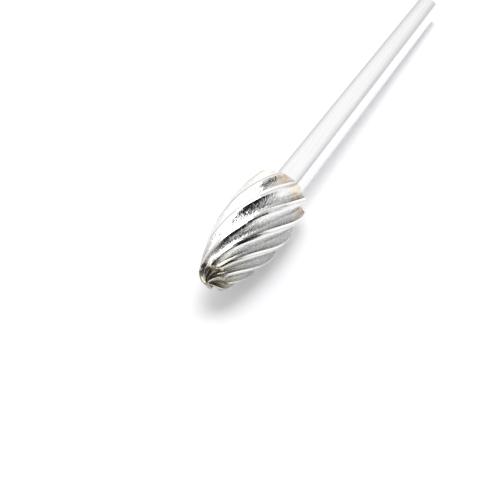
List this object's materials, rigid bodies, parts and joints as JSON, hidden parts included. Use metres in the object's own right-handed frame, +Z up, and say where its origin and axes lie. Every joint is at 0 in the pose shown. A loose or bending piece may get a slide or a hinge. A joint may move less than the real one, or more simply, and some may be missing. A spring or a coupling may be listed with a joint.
{
  "type": "carbide burr",
  "caption": "Tree-shaped carbide burr with a radius end and coarse right-hand helical teeth, brazed on a plain straight steel shank",
  "frame": {"origin": "on the floor under the middle of the length, with the burr lying as it comes to rest on two cutting edges and the lower rim of the shank's end", "axes": "+X from the nose to the shank's end, +Z up, +Y to the left as seen from the nose looking along +X; the tool's axis falls about 2 degrees towards the shank's end"},
  "size_m": [0.051, 0.006, 0.006],
  "materials": {
    "carbide": "ground sintered tungsten carbide, mirror bright on the teeth with fine grinding lines, heat tinted at the back",
    "shank_steel": "polished hardened steel",
    "braze_alloy": "copper-coloured silver braze, slightly dull"
  },
  "bodies": {
    "root": {"cutting_head": "carbide", "shank": "shank_steel", "braze": "braze_alloy"}
  },
  "joints": []
}
